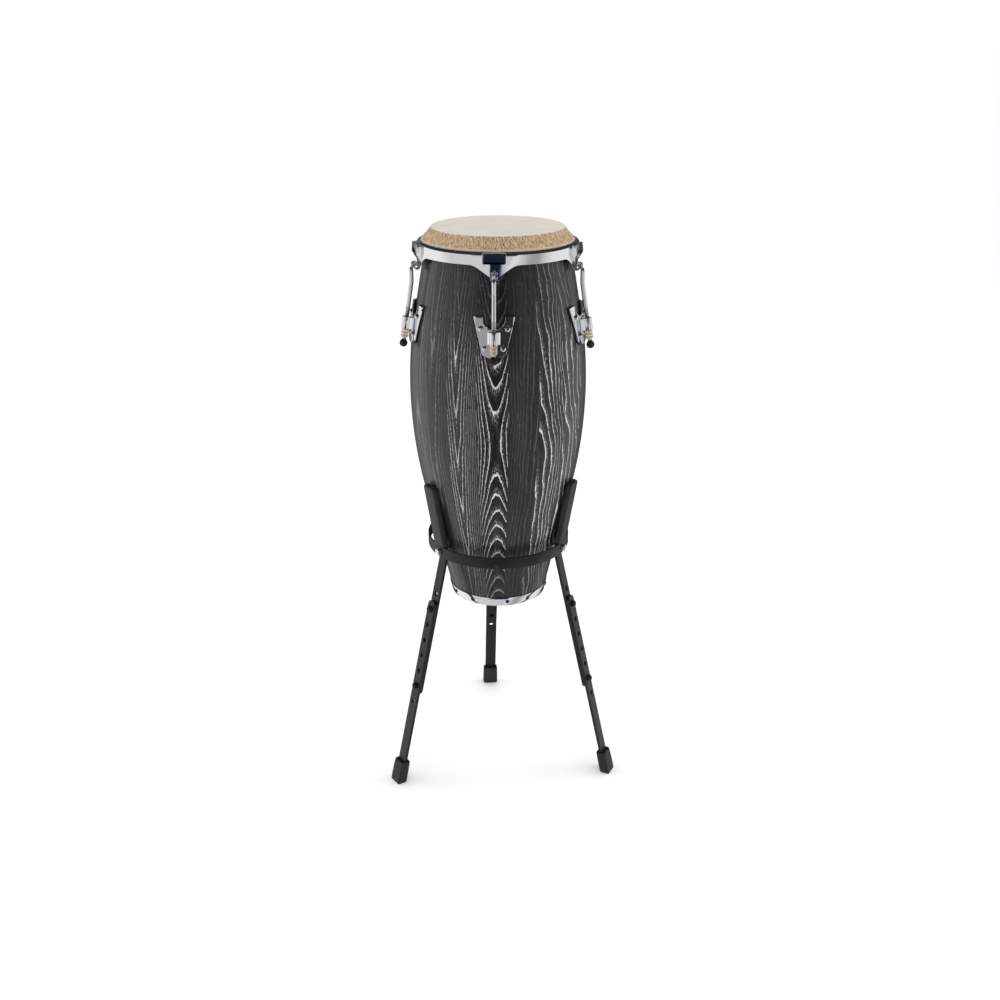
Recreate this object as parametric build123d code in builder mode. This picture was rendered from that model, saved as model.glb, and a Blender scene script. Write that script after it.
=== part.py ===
"""A conga with five tuning lugs, standing in a basket stand with three height-adjustable legs.

Millimetres, +Z up. The origin is on the drum's axis, at the level of the floor under the rubber feet.
The front lug points along -Y.
"""

import os
from math import asin, atan, cos, degrees, radians, sin, tan

from build123d import *

os.makedirs("parts", exist_ok=True)

# ---- Driving dimensions -------------------------------------------------------------------------

# Shell: an outer wall made of two straight cones joined by two arcs that meet at the belly
SHELL_BOTTOM_Z = 403.0
SHELL_TOP_Z = 1175.3
BELLY_R = 179.0
BELLY_Z = 858.0
UPPER_ARC_R = 860.0
UPPER_ARC_RISE = 150.0
LOWER_ARC_R = 957.0
LOWER_ARC_DROP = 215.0
CONE_LENGTH = 300.0
SHELL_WALL = 11.0
EDGE_DROP = 13.0
EDGE_IN = 8.5

# Head and hoops
HEAD_TOP_Z = 1177.0
HEAD_EDGE_R = 129.0
HEAD_EDGE_ROUND = 5.0
SKIN = 1.6
COLLAR_R = 150.0
COLLAR_Z = 1153.0
SKIRT_Z = 1146.2
FLESH_HOOP_IN_R = 146.4
FLESH_HOOP_OUT_R = 155.2
FLESH_HOOP_LOW_Z = 1137.5
FLESH_HOOP_GAP = 0.6
HOOP_R = 159.0
HOOP_WALL = 3.0
HOOP_LOW_Z = 1127.5
HOOP_TOP_Z = 1151.5
HOOP_LIP_R = 150.8
HOOP_FLANGE = 5.0
HOOP_ROUND = 4.2
HOOP_LIP_ROUND = 1.6

# Lugs
LUGS = 5
FRONT_LUG_ANGLE = -90.0
EAR_R = 167.5
EAR_WIDTH = 44.0
EAR_LOW_Z = 1124.0
EAR_ROUND = 4.0
EAR_CORNER = 2.0
EAR_LAP = 1.0
EAR_UNDERCUT = 7.5
GUSSET_HALF_TOP = 40.0
SEAT_WIDTH = 14.0
SEAT_R = 162.4
SEAT_Z = 1105.5
SEAT_IN_R = 3.4
SEAT_OUT_R = 5.9
LIP_TOP_Z = 1111.2
ROD_D = 8.6
ROD_R = 173.5
HOOK_D = 5.0
HOOK_LEG_R = 171.7
HOOK_TIP_R = 162.4
HOOK_ARCH_Z = 1109.5
HOOK_TIP_Z = 1106.2
ROD_NECK_Z = 1099.0
BEND_Z = 1077.0
BEND_RADIUS = 15.0
PLATE_Z = 996.0
PLATE_HALF_HEIGHT = 39.0
PLATE_HALF_TOP = 39.0
PLATE_HALF_LOW = 23.0
PLATE_SHOULDER = -31.0
PLATE_CORNER = 1.5
NOTCH_HALF = 20.5
NOTCH_LOW = 15.0
LAYER_HALF = 60.0
GASKET = 3.0
PLATE = 3.5
GASKET_EDGE = 1.6
SLEEVE_LOW_Z = 987.5
SLEEVE_HEIGHT = 22.0
SLEEVE_WIDTH = 24.0
SLEEVE_WALL = 4.4
RUNNING_GAP = 0.06
TURNING_GAP = 0.1
WASHER_THICK = 1.4
WASHER_D = 16.0
NUT_HEIGHT = 17.5
NUT_FLATS = 12.7
NUT_RIM_D = 15.0
NUT_RINGS = (0.0, 6.4, 12.8)
NUT_RING_HEIGHT = 2.4
CAP_D = 15.6
CAP_GAP = 3.8
BOLT_HEAD_D = 11.0
BOLT_HEAD_HEIGHT = 4.2
BOLT_HEAD_RIM = 0.6
BOLT_SHANK_D = 5.6
BOLT_CLEARANCE = 0.3
PLATE_BOLTS = [(-24.5, 16.0), (24.5, 16.0), (-16.2, -20.5), (16.2, -20.5)]
BACKING = 2.5
BACKING_WIDTH = 66.0
BACKING_HEIGHT = 56.0
BACKING_UP = -2.0
BACKING_CORNER = 3.0
NUT_SEAT = 0.6
SIDE_NUT_R = 5.5
SIDE_NUT_HEIGHT = 4.5
BOLT_TAIL = 5.5

# Bottom ring of the shell
BOTTOM_RING_HEIGHT = 20.0
BOTTOM_RING_WALL = 1.6
BOTTOM_SCREW_D = 8.0
BOTTOM_SCREW_HEIGHT = 1.8
BOTTOM_SCREW_ROUND = 1.2
BOTTOM_SCREW_UP = 9.0
BOTTOM_SCREW_TURN = 13.0

# Stand
LEGS = 3
STAND_TURN = 7.0
RING_R = 150.0
RING_WALL = 3.5
RING_LOW_Z = 510.5
RING_TOP_Z = 534.5
ARM_WIDTH = 25.0
ARM_THICK = 4.2
ARM_GAP = 0.6
ARM_SLOPE = 0.176
ARM_TOP_Z = 664.0
ARM_LOW_Z = 507.0
ARM_BEND_Z = 537.0
PAD_WIDTH = 38.0
PAD_THICK = 13.5
PAD_ROUND = 4.5
PAD_TOP_ROUND = 2.7
PAD_TOP_Z = 672.0
PAD_LOW_Z = 536.8
BAR_WIDTH = 25.0
BAR_THICK = 6.0
BAR_CORNER = 11.0
BAR_GAP = 0.1
BAR_FLOOR_Z = 8.0
LEG_TILT = 13.55
LEG_TOP_Z = 533.0
LEG_BEND_Z = 504.0
RING_BOLT_Z = 521.0
RING_BOLT_D = 8.0
RING_HOLE_D = 8.4
RING_BOLT_HEAD_R = 7.5
RING_BOLT_HEAD = 5.5
RING_NUT = 6.2
HOLE_PITCH = 35.4
HOLE_D = 10.4
TOP_KNOB_Z = 392.0
OVERLAP_HOLES = 6
BAR_END = 19.0
KNOB_D = 13.5
KNOB_HEIGHT = 7.0
KNOB_SHANK_D = 10.24
FOOT_WIDTH = 34.0
FOOT_DEPTH = 22.0
FOOT_TOP_Z = 46.0
FOOT_ROUND = 4.0

# ---- Derived sizes ------------------------------------------------------------------------------

UP_ANGLE = degrees(asin(UPPER_ARC_RISE / UPPER_ARC_R))
DOWN_ANGLE = degrees(asin(LOWER_ARC_DROP / LOWER_ARC_R))
LUG_TILT = degrees(asin((PLATE_Z - BELLY_Z) / UPPER_ARC_R))
PLATE_R = BELLY_R - UPPER_ARC_R * (1 - cos(radians(LUG_TILT)))
ARM_IN_R = RING_R - RING_WALL - ARM_GAP - ARM_THICK
LUG_ANGLES = [FRONT_LUG_ANGLE + 360 / LUGS * i for i in range(LUGS)]
LEG_ANGLES = [-90 + STAND_TURN + 360 / LEGS * (i - 0.5) for i in range(LEGS)]


def rod_r(z):
    """Distance of the tuning rod's lower, slanted stretch from the drum's axis at a height."""
    return ROD_R + (BEND_Z - z) * tan(radians(LUG_TILT))


def bar_face_r(z):
    """Distance of the plane where the upper and lower leg bars touch from the drum's axis."""
    return ARM_IN_R + (LEG_BEND_Z - z) * tan(radians(LEG_TILT))


def tilted_plane(r, z, tilt, along=False):
    """A plane at (r, z) on the +X side, facing away from the drum or, if along, up the tilt.

    A positive tilt turns the outward normal upwards by that many degrees.
    """
    turn = radians(tilt)
    outward = (cos(turn), 0, sin(turn))
    upward = (-sin(turn), 0, cos(turn))
    if along:
        return Plane(origin=(r, 0, z), x_dir=outward, z_dir=upward)
    return Plane(origin=(r, 0, z), x_dir=(0, 1, 0), z_dir=outward)


def bolt_plane(side, up, lift):
    """A plane square to the shell, lift outside it, at a point of the side plate."""
    turn = radians(LUG_TILT)
    r = PLATE_R - up * sin(turn) + lift * cos(turn)
    z = PLATE_Z + up * cos(turn) + lift * sin(turn)
    angle = asin(side / PLATE_R)
    normal = (cos(turn) * cos(angle), cos(turn) * sin(angle), sin(turn))
    centre = (r * cos(angle), r * sin(angle), z)
    return Plane(origin=centre, x_dir=(-sin(angle), cos(angle), 0), z_dir=normal)


def cone_end(shift, up):
    """Far end of the straight cone line above or below the belly arcs, and where it starts."""
    radius = (UPPER_ARC_R if up else LOWER_ARC_R) + shift
    angle = radians(UP_ANGLE if up else -DOWN_ANGLE)
    side = 1 if up else -1
    centre_r = BELLY_R + shift - radius
    start = Vector(centre_r + radius * cos(angle), BELLY_Z + radius * sin(angle))
    end = start + Vector(-sin(angle), cos(angle)) * (side * CONE_LENGTH)
    return start, end


def wall_layer(inner, outer, low, high):
    """A ring that follows the shell: between two distances from its outer wall and two heights."""
    with BuildPart() as layer:
        with BuildSketch(Plane.XZ):
            with BuildLine():
                for shift in (inner, outer):
                    CenterArc((BELLY_R - UPPER_ARC_R, BELLY_Z), UPPER_ARC_R + shift, 0, UP_ANGLE)
                    CenterArc((BELLY_R - LOWER_ARC_R, BELLY_Z), LOWER_ARC_R + shift, 0, -DOWN_ANGLE)
                    Line(*cone_end(shift, True))
                    Line(*cone_end(shift, False))
                Line(cone_end(inner, True)[1], cone_end(outer, True)[1])
                Line(cone_end(inner, False)[1], cone_end(outer, False)[1])
            make_face()
            with Locations((BELLY_R, (low + high) / 2)):
                Rectangle(2 * BELLY_R, high - low, mode=Mode.INTERSECT)
        revolve(axis=Axis.Z)
    return layer.part


def copies(piece, angles):
    """The same piece at several angles about the drum's axis, as separate solids."""
    return Compound(children=[Rot(0, 0, angle) * piece for angle in angles])


def save(piece, name, angle=0.0):
    """Turn a finished piece about the drum's axis, label it and write it."""
    turned = Rot(0, 0, angle) * piece
    turned.label = name
    export_step(turned, f"parts/{name}.step")


# ---- Side plates, their gaskets, backing plates and bolts -----------------------------------------

plate_face = tilted_plane(PLATE_R, PLATE_Z, LUG_TILT)
plate_span = (PLATE_Z - LAYER_HALF, PLATE_Z + LAYER_HALF)

with BuildSketch() as plate_outline:
    with BuildLine():
        left_top = (-PLATE_HALF_TOP, PLATE_HALF_HEIGHT)
        left_notch = (-NOTCH_HALF, PLATE_HALF_HEIGHT)
        right_notch = (NOTCH_HALF, PLATE_HALF_HEIGHT)
        right_top = (PLATE_HALF_TOP, PLATE_HALF_HEIGHT)
        right_low = (PLATE_HALF_LOW, PLATE_SHOULDER)
        left_low = (-PLATE_HALF_LOW, PLATE_SHOULDER)
        Line(left_top, left_notch)
        ThreePointArc(left_notch, (0, NOTCH_LOW), right_notch)
        Line(right_notch, right_top)
        Line(right_top, right_low)
        ThreePointArc(right_low, (0, -PLATE_HALF_HEIGHT), left_low)
        Line(left_low, left_top)
    make_face()
    fillet(plate_outline.vertices(), PLATE_CORNER)

with BuildPart() as bolt_drill:
    for side, up in PLATE_BOLTS:
        with BuildSketch(bolt_plane(side, up, 0)):
            Circle(BOLT_SHANK_D / 2 + BOLT_CLEARANCE)
        extrude(amount=LAYER_HALF / 2, both=True)

with BuildPart() as gasket:
    add(wall_layer(0, GASKET, *plate_span))
    with BuildSketch(plate_face):
        add(plate_outline.sketch)
        offset(amount=GASKET_EDGE)
    extrude(amount=LAYER_HALF, both=True, mode=Mode.INTERSECT)
    add(bolt_drill.part, mode=Mode.SUBTRACT)

with BuildPart() as plate:
    add(wall_layer(GASKET, GASKET + PLATE, *plate_span))
    with BuildSketch(plate_face):
        add(plate_outline.sketch)
    extrude(amount=LAYER_HALF, both=True, mode=Mode.INTERSECT)
    add(bolt_drill.part, mode=Mode.SUBTRACT)
    rod_stand_off = (rod_r(PLATE_Z) - PLATE_R) * cos(radians(LUG_TILT)) - GASKET - PLATE / 2
    sleeve_r = ROD_D / 2 + SLEEVE_WALL
    sleeve_base = tilted_plane(rod_r(SLEEVE_LOW_Z), SLEEVE_LOW_Z, LUG_TILT, along=True)
    with BuildSketch(sleeve_base):
        with BuildLine():
            Polyline(
                (-rod_stand_off, -SLEEVE_WIDTH / 2),
                (-sleeve_r / 2, -SLEEVE_WIDTH / 2),
                (0, -sleeve_r),
                (0, sleeve_r),
                (-sleeve_r / 2, SLEEVE_WIDTH / 2),
                (-rod_stand_off, SLEEVE_WIDTH / 2),
                close=True,
            )
        make_face()
        Circle(sleeve_r)
    extrude(amount=SLEEVE_HEIGHT)
    with BuildSketch(sleeve_base):
        Circle(ROD_D / 2 + RUNNING_GAP)
    extrude(amount=SLEEVE_HEIGHT, mode=Mode.SUBTRACT)

with BuildPart() as backing:
    add(wall_layer(-SHELL_WALL - BACKING, -SHELL_WALL, *plate_span))
    with BuildSketch(plate_face):
        with Locations((0, BACKING_UP)):
            RectangleRounded(BACKING_WIDTH, BACKING_HEIGHT, BACKING_CORNER)
    extrude(amount=LAYER_HALF, both=True, mode=Mode.INTERSECT)
    add(bolt_drill.part, mode=Mode.SUBTRACT)

with BuildPart() as side_bolts:
    for side, up in PLATE_BOLTS:
        head_plane = bolt_plane(side, up, GASKET + PLATE)
        with BuildSketch(head_plane):
            Circle(BOLT_HEAD_D / 2)
        extrude(amount=BOLT_HEAD_HEIGHT)
        head_rims = side_bolts.edges(Select.LAST).filter_by(GeomType.CIRCLE)
        outer_rim = head_rims.sort_by(Axis(head_plane.origin, head_plane.z_dir))[-1]
        fillet(outer_rim, BOLT_HEAD_HEIGHT - BOLT_HEAD_RIM)
        with BuildSketch(head_plane):
            Circle(BOLT_SHANK_D / 2)
        extrude(amount=-(GASKET + PLATE + SHELL_WALL + BACKING + BOLT_TAIL))

with BuildPart() as side_nuts:
    for side, up in PLATE_BOLTS:
        with BuildSketch(bolt_plane(side, up, -SHELL_WALL - BACKING - NUT_SEAT)):
            RegularPolygon(SIDE_NUT_R, 6)
            Circle(BOLT_SHANK_D / 2, mode=Mode.SUBTRACT)
        extrude(amount=-SIDE_NUT_HEIGHT)

for i, angle in enumerate(LUG_ANGLES, start=1):
    save(gasket.part, f"side_plate_gasket_{i}", angle)
    save(plate.part, f"side_plate_{i}", angle)
save(copies(backing.part, LUG_ANGLES), "backing_plates")
save(copies(side_bolts.part, LUG_ANGLES), "side_plate_bolts")
save(copies(side_nuts.part, LUG_ANGLES), "side_plate_nuts")

# ---- Shell and its bottom ring --------------------------------------------------------------------

with BuildPart() as shell:
    add(wall_layer(-SHELL_WALL, 0, SHELL_BOTTOM_Z, SHELL_TOP_Z))
    rims = shell.edges().filter_by(GeomType.CIRCLE).group_by(Axis.Z)[-1].sort_by(SortBy.RADIUS)
    chamfer(rims[-1], EDGE_IN, EDGE_DROP, reference=shell.faces().sort_by(Axis.Z)[-1])
    add(copies(bolt_drill.part, LUG_ANGLES), mode=Mode.SUBTRACT)
save(shell.part, "shell")

bottom_ring_top = SHELL_BOTTOM_Z + BOTTOM_RING_HEIGHT - BOTTOM_RING_WALL
cone_start = cone_end(0, False)[0]
bottom_ring_r = cone_start.X - (cone_start.Y - SHELL_BOTTOM_Z) * tan(radians(DOWN_ANGLE))

with BuildPart() as bottom_ring:
    add(wall_layer(0, BOTTOM_RING_WALL, SHELL_BOTTOM_Z - BOTTOM_RING_WALL, bottom_ring_top))
    with BuildSketch(Plane.XY.offset(SHELL_BOTTOM_Z - BOTTOM_RING_WALL)):
        Circle(bottom_ring_r + BOTTOM_RING_WALL / 2)
        Circle(bottom_ring_r - SHELL_WALL, mode=Mode.SUBTRACT)
    extrude(amount=BOTTOM_RING_WALL)
save(bottom_ring.part, "bottom_ring")

with BuildPart() as bottom_screw:
    screw_z = SHELL_BOTTOM_Z + BOTTOM_SCREW_UP
    wall_r = bottom_ring_r + BOTTOM_SCREW_UP * tan(radians(DOWN_ANGLE))
    screw_r = wall_r + BOTTOM_RING_WALL / cos(radians(DOWN_ANGLE))
    screw_face = tilted_plane(screw_r, screw_z, -DOWN_ANGLE)
    with BuildSketch(screw_face):
        Circle(BOTTOM_SCREW_D / 2)
    extrude(amount=BOTTOM_SCREW_HEIGHT)
    fillet(bottom_screw.edges().sort_by(Axis.X)[-1], BOTTOM_SCREW_ROUND)
screw_angles = [angle + BOTTOM_SCREW_TURN for angle in LUG_ANGLES]
save(copies(bottom_screw.part, screw_angles), "bottom_ring_screws")

# ---- Head -----------------------------------------------------------------------------------------

with BuildPart() as drum_head:
    with BuildSketch(Plane.XZ):
        with BuildLine():
            Polyline(
                (0, HEAD_TOP_Z),
                (HEAD_EDGE_R, HEAD_TOP_Z),
                (COLLAR_R, COLLAR_Z),
                (COLLAR_R, SKIRT_Z),
                (COLLAR_R - SKIN, SKIRT_Z),
                (COLLAR_R - SKIN, COLLAR_Z - SKIN / 3),
                (HEAD_EDGE_R - SKIN / 2, HEAD_TOP_Z - SKIN),
                (0, HEAD_TOP_Z - SKIN),
                close=True,
            )
        make_face()
    revolve(axis=Axis.Z)
    creases = drum_head.edges().filter_by(GeomType.CIRCLE).group_by(Axis.Z)[-1]
    fillet(creases.sort_by(SortBy.RADIUS)[-1], HEAD_EDGE_ROUND)
save(drum_head.part, "drum_head")

with BuildPart() as flesh_hoop:
    with BuildSketch(Plane.XZ):
        width = FLESH_HOOP_OUT_R - FLESH_HOOP_IN_R
        height = SKIRT_Z - FLESH_HOOP_GAP - FLESH_HOOP_LOW_Z
        with Locations((FLESH_HOOP_IN_R + width / 2, FLESH_HOOP_LOW_Z + height / 2)):
            RectangleRounded(width, height, width / 4)
    revolve(axis=Axis.Z)
save(flesh_hoop.part, "flesh_hoop")

# ---- Counterhoop with its gussets, ears and hook seats --------------------------------------------

with BuildPart() as ear:
    with BuildSketch(Plane.XZ):
        with BuildLine():
            Polyline(
                (HOOP_R - HOOP_WALL / 2, HOOP_TOP_Z - EAR_LAP),
                (EAR_R - HOOP_WALL, HOOP_TOP_Z - EAR_LAP),
                (EAR_R, HOOP_TOP_Z - EAR_ROUND),
                (EAR_R, EAR_LOW_Z),
                (HOOP_R, EAR_LOW_Z - EAR_UNDERCUT),
                (HOOP_R - HOOP_WALL / 2, EAR_LOW_Z - EAR_UNDERCUT),
                close=True,
            )
        make_face()
    extrude(amount=EAR_WIDTH / 2, both=True)
    with BuildSketch(Plane.YZ):
        with BuildLine():
            Polyline(
                (-EAR_WIDTH / 2, HOOP_TOP_Z),
                (-EAR_WIDTH / 2, EAR_LOW_Z + EAR_CORNER),
                (-SEAT_WIDTH, EAR_LOW_Z - EAR_UNDERCUT),
                (SEAT_WIDTH, EAR_LOW_Z - EAR_UNDERCUT),
                (EAR_WIDTH / 2, EAR_LOW_Z + EAR_CORNER),
                (EAR_WIDTH / 2, HOOP_TOP_Z),
                close=True,
            )
        make_face()
    extrude(amount=2 * HOOP_R, mode=Mode.INTERSECT)

with BuildPart() as gusset:
    with BuildSketch(Plane.XY.offset(SEAT_Z)):
        Circle(HOOP_R)
        Circle(HOOP_R - HOOP_WALL, mode=Mode.SUBTRACT)
    extrude(amount=HOOP_LOW_Z - SEAT_Z + EAR_LAP)
    with BuildSketch(Plane.YZ):
        with BuildLine():
            Polyline(
                (-GUSSET_HALF_TOP, HOOP_LOW_Z + EAR_LAP),
                (-GUSSET_HALF_TOP + EAR_LAP, HOOP_LOW_Z),
                (-SEAT_WIDTH / 2, SEAT_Z),
                (SEAT_WIDTH / 2, SEAT_Z),
                (GUSSET_HALF_TOP - EAR_LAP, HOOP_LOW_Z),
                (GUSSET_HALF_TOP, HOOP_LOW_Z + EAR_LAP),
                close=True,
            )
        make_face()
    extrude(amount=2 * HOOP_R, mode=Mode.INTERSECT)

with BuildPart() as hook_seat:
    lip_round = (SEAT_OUT_R - SEAT_IN_R) / 2
    lip_r = SEAT_R + SEAT_IN_R + lip_round
    with BuildSketch(Plane.XZ):
        with Locations((SEAT_R, SEAT_Z)):
            Circle(SEAT_OUT_R)
            Circle(SEAT_IN_R, mode=Mode.SUBTRACT)
        with Locations((SEAT_R, SEAT_Z + SEAT_OUT_R)):
            Rectangle(2 * SEAT_OUT_R, 2 * SEAT_OUT_R, mode=Mode.SUBTRACT)
        with Locations((lip_r, (SEAT_Z + LIP_TOP_Z - lip_round) / 2)):
            Rectangle(2 * lip_round, LIP_TOP_Z - lip_round - SEAT_Z)
        with Locations((lip_r, LIP_TOP_Z - lip_round)):
            Circle(lip_round)
    extrude(amount=SEAT_WIDTH / 2, both=True)

with BuildPart() as counterhoop:
    with BuildSketch(Plane.XZ):
        with BuildLine():
            Polyline(
                (HOOP_R - HOOP_WALL, HOOP_LOW_Z),
                (HOOP_R, HOOP_LOW_Z),
                (HOOP_R, HOOP_TOP_Z),
                (HOOP_LIP_R, HOOP_TOP_Z),
                (HOOP_LIP_R, HOOP_TOP_Z - HOOP_FLANGE),
                (HOOP_R - HOOP_WALL, HOOP_TOP_Z - HOOP_FLANGE),
                close=True,
            )
        make_face()
    revolve(axis=Axis.Z)
    circles = counterhoop.edges().filter_by(GeomType.CIRCLE).group_by(Axis.Z)[-1]
    fillet(circles.sort_by(SortBy.RADIUS)[-1], HOOP_ROUND)
    fillet(circles.sort_by(SortBy.RADIUS)[0], HOOP_LIP_ROUND)
    for angle in LUG_ANGLES:
        add(ear.part, rotation=(0, 0, angle))
        add(gusset.part, rotation=(0, 0, angle))
        add(hook_seat.part, rotation=(0, 0, angle))
save(counterhoop.part, "counterhoop")

# ---- Tuning hooks, washers, nuts and rubber caps ---------------------------------------------------

along_rod = Vector(-sin(radians(LUG_TILT)), 0, cos(radians(LUG_TILT)))
sleeve_foot = Vector(rod_r(SLEEVE_LOW_Z), 0, SLEEVE_LOW_Z)


def rod_plane(below):
    """A plane across the tuning rod, at a distance below the foot of the sleeve."""
    centre = sleeve_foot - along_rod * below
    return tilted_plane(centre.X, centre.Z, LUG_TILT, along=True)


nut_top = WASHER_THICK + TURNING_GAP
nut_low = nut_top + NUT_HEIGHT
cap_centre = nut_low + CAP_GAP + CAP_D / 2
rod_end = sleeve_foot - along_rod * cap_centre

with BuildPart() as hook:
    arch_mid = (HOOK_LEG_R + HOOK_TIP_R) / 2
    with BuildLine(Plane.XZ):
        Line((HOOK_TIP_R, HOOK_TIP_Z), (HOOK_TIP_R, HOOK_ARCH_Z))
        arch_top = (arch_mid, HOOK_ARCH_Z + (HOOK_LEG_R - HOOK_TIP_R) / 2)
        ThreePointArc((HOOK_TIP_R, HOOK_ARCH_Z), arch_top, (HOOK_LEG_R, HOOK_ARCH_Z))
        Line((HOOK_LEG_R, HOOK_ARCH_Z), (HOOK_LEG_R, HOOK_TIP_Z))
    with BuildSketch(Plane(origin=(HOOK_TIP_R, 0, HOOK_TIP_Z), z_dir=(0, 0, 1))):
        Circle(HOOK_D / 2)
    sweep()
    with BuildSketch(Plane(origin=(HOOK_LEG_R, 0, HOOK_TIP_Z), z_dir=(0, 0, 1))):
        Circle(HOOK_D / 2)
    with BuildSketch(Plane(origin=(ROD_R, 0, ROD_NECK_Z), z_dir=(0, 0, 1))):
        Circle(ROD_D / 2)
    loft()
    with BuildLine(Plane.XZ):
        FilletPolyline((ROD_R, ROD_NECK_Z), (ROD_R, BEND_Z), (rod_end.X, rod_end.Z), radius=BEND_RADIUS)
    with BuildSketch(Plane(origin=(ROD_R, 0, ROD_NECK_Z), z_dir=(0, 0, -1))):
        Circle(ROD_D / 2)
    sweep()

with BuildPart() as washer:
    with BuildSketch(rod_plane(0)):
        Circle(WASHER_D / 2)
        Circle(ROD_D / 2 + RUNNING_GAP, mode=Mode.SUBTRACT)
    extrude(amount=-WASHER_THICK)

with BuildPart() as nut:
    with BuildSketch(rod_plane(nut_top)):
        RegularPolygon(NUT_FLATS / 2, 6, major_radius=False)
    extrude(amount=-NUT_HEIGHT)
    for start in NUT_RINGS:
        with BuildSketch(rod_plane(nut_top + start)):
            Circle(NUT_RIM_D / 2)
        extrude(amount=-NUT_RING_HEIGHT)
    with BuildSketch(rod_plane(nut_top)):
        Circle(ROD_D / 2 + RUNNING_GAP)
    extrude(amount=-NUT_HEIGHT, mode=Mode.SUBTRACT)

with BuildPart() as rod_cap:
    with Locations(rod_end):
        Sphere(CAP_D / 2)
    add(hook.part, mode=Mode.SUBTRACT)

for i, angle in enumerate(LUG_ANGLES, start=1):
    save(hook.part, f"tuning_hook_{i}", angle)
    save(nut.part, f"tuning_nut_{i}", angle)
    save(rod_cap.part, f"rod_cap_{i}", angle)
save(copies(washer.part, LUG_ANGLES), "tuning_washers")

# ---- Basket ring and arms --------------------------------------------------------------------------

with BuildPart() as ring_drill:
    for angle in LEG_ANGLES:
        turn = radians(angle)
        outward = (cos(turn), sin(turn), 0)
        with BuildSketch(Plane(origin=(0, 0, RING_BOLT_Z), z_dir=outward)):
            Circle(RING_HOLE_D / 2)
        extrude(amount=RING_R + 2 * RING_WALL)

with BuildPart() as basket_ring:
    with BuildSketch(Plane.XY.offset(RING_LOW_Z)):
        Circle(RING_R)
        Circle(RING_R - RING_WALL, mode=Mode.SUBTRACT)
    extrude(amount=RING_TOP_Z - RING_LOW_Z)
    add(ring_drill.part, mode=Mode.SUBTRACT)
save(basket_ring.part, "basket_ring")

arm_r = ARM_IN_R + ARM_THICK / 2
arm_top_r = arm_r + (ARM_TOP_Z - ARM_BEND_Z) * ARM_SLOPE
arm_tilt = degrees(atan(ARM_SLOPE))
bolt_line = Plane(origin=(0, 0, RING_BOLT_Z), z_dir=(1, 0, 0))

with BuildPart() as arm:
    with BuildSketch(Plane.XZ):
        with BuildLine():
            arm_ends = [(arm_r, ARM_LOW_Z), (arm_r, ARM_BEND_Z), (arm_top_r, ARM_TOP_Z)]
            FilletPolyline(*arm_ends, radius=2 * BEND_RADIUS)
        trace(line_width=ARM_THICK)
    extrude(amount=ARM_WIDTH / 2, both=True)
    with BuildSketch(bolt_line):
        Circle(RING_HOLE_D / 2)
    extrude(amount=RING_R, mode=Mode.SUBTRACT)

with BuildPart() as arm_pad:
    pad_r = arm_r + (PAD_LOW_Z - ARM_BEND_Z) * ARM_SLOPE
    with BuildSketch(tilted_plane(pad_r, PAD_LOW_Z, -arm_tilt, along=True)):
        RectangleRounded(PAD_THICK, PAD_WIDTH, PAD_ROUND)
    extrude(amount=(PAD_TOP_Z - PAD_LOW_Z) / cos(radians(arm_tilt)))
    fillet(arm_pad.faces().sort_by(Axis.Z)[-1].edges(), PAD_TOP_ROUND)
    add(arm.part, mode=Mode.SUBTRACT)

# ---- Legs ------------------------------------------------------------------------------------------

down_leg = Vector(sin(radians(LEG_TILT)), 0, -cos(radians(LEG_TILT)))
out_of_leg = Vector(cos(radians(LEG_TILT)), 0, sin(radians(LEG_TILT)))
top_hole = Vector(bar_face_r(TOP_KNOB_Z), 0, TOP_KNOB_Z)


def leg_plane(hole, lift=0.0):
    """A plane on the face between the leg bars, lift outside it, at a hole counted from the top knob."""
    centre = top_hole + down_leg * (hole * HOLE_PITCH) + out_of_leg * lift
    return tilted_plane(centre.X, centre.Z, LEG_TILT)


upper_end = top_hole + down_leg * ((OVERLAP_HOLES - 1) * HOLE_PITCH + BAR_END)
upper_r = ARM_IN_R - BAR_THICK / 2
half_bar_r = BAR_THICK / 2 / cos(radians(LEG_TILT))

with BuildPart() as upper_leg:
    with BuildSketch(Plane.XZ):
        with BuildLine():
            FilletPolyline(
                (upper_r, LEG_TOP_Z),
                (upper_r, LEG_BEND_Z),
                (upper_end.X - half_bar_r, upper_end.Z),
                radius=BEND_RADIUS,
            )
        trace(line_width=BAR_THICK)
    extrude(amount=BAR_WIDTH / 2, both=True)
    low_end = upper_leg.faces().sort_by(Axis.Z)[0]
    fillet(low_end.edges().filter_by(Axis.Y, reverse=True), BAR_CORNER)
    for hole in range(-1, OVERLAP_HOLES):
        with BuildSketch(leg_plane(hole)):
            Circle(HOLE_D / 2)
        extrude(amount=2 * BAR_THICK, both=True, mode=Mode.SUBTRACT)
    with BuildSketch(bolt_line):
        Circle(RING_HOLE_D / 2)
    extrude(amount=RING_R, mode=Mode.SUBTRACT)

lower_length = (TOP_KNOB_Z - BAR_FLOOR_Z) / cos(radians(LEG_TILT)) + BAR_END

with BuildPart() as lower_leg:
    with BuildSketch(leg_plane(0, BAR_GAP)):
        with Locations((0, BAR_END - lower_length / 2)):
            RectangleRounded(BAR_WIDTH, lower_length, BAR_CORNER)
    extrude(amount=BAR_THICK)
    for hole in range(OVERLAP_HOLES + 1):
        with BuildSketch(leg_plane(hole)):
            Circle(HOLE_D / 2)
        extrude(amount=2 * BAR_THICK, mode=Mode.SUBTRACT)

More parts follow.
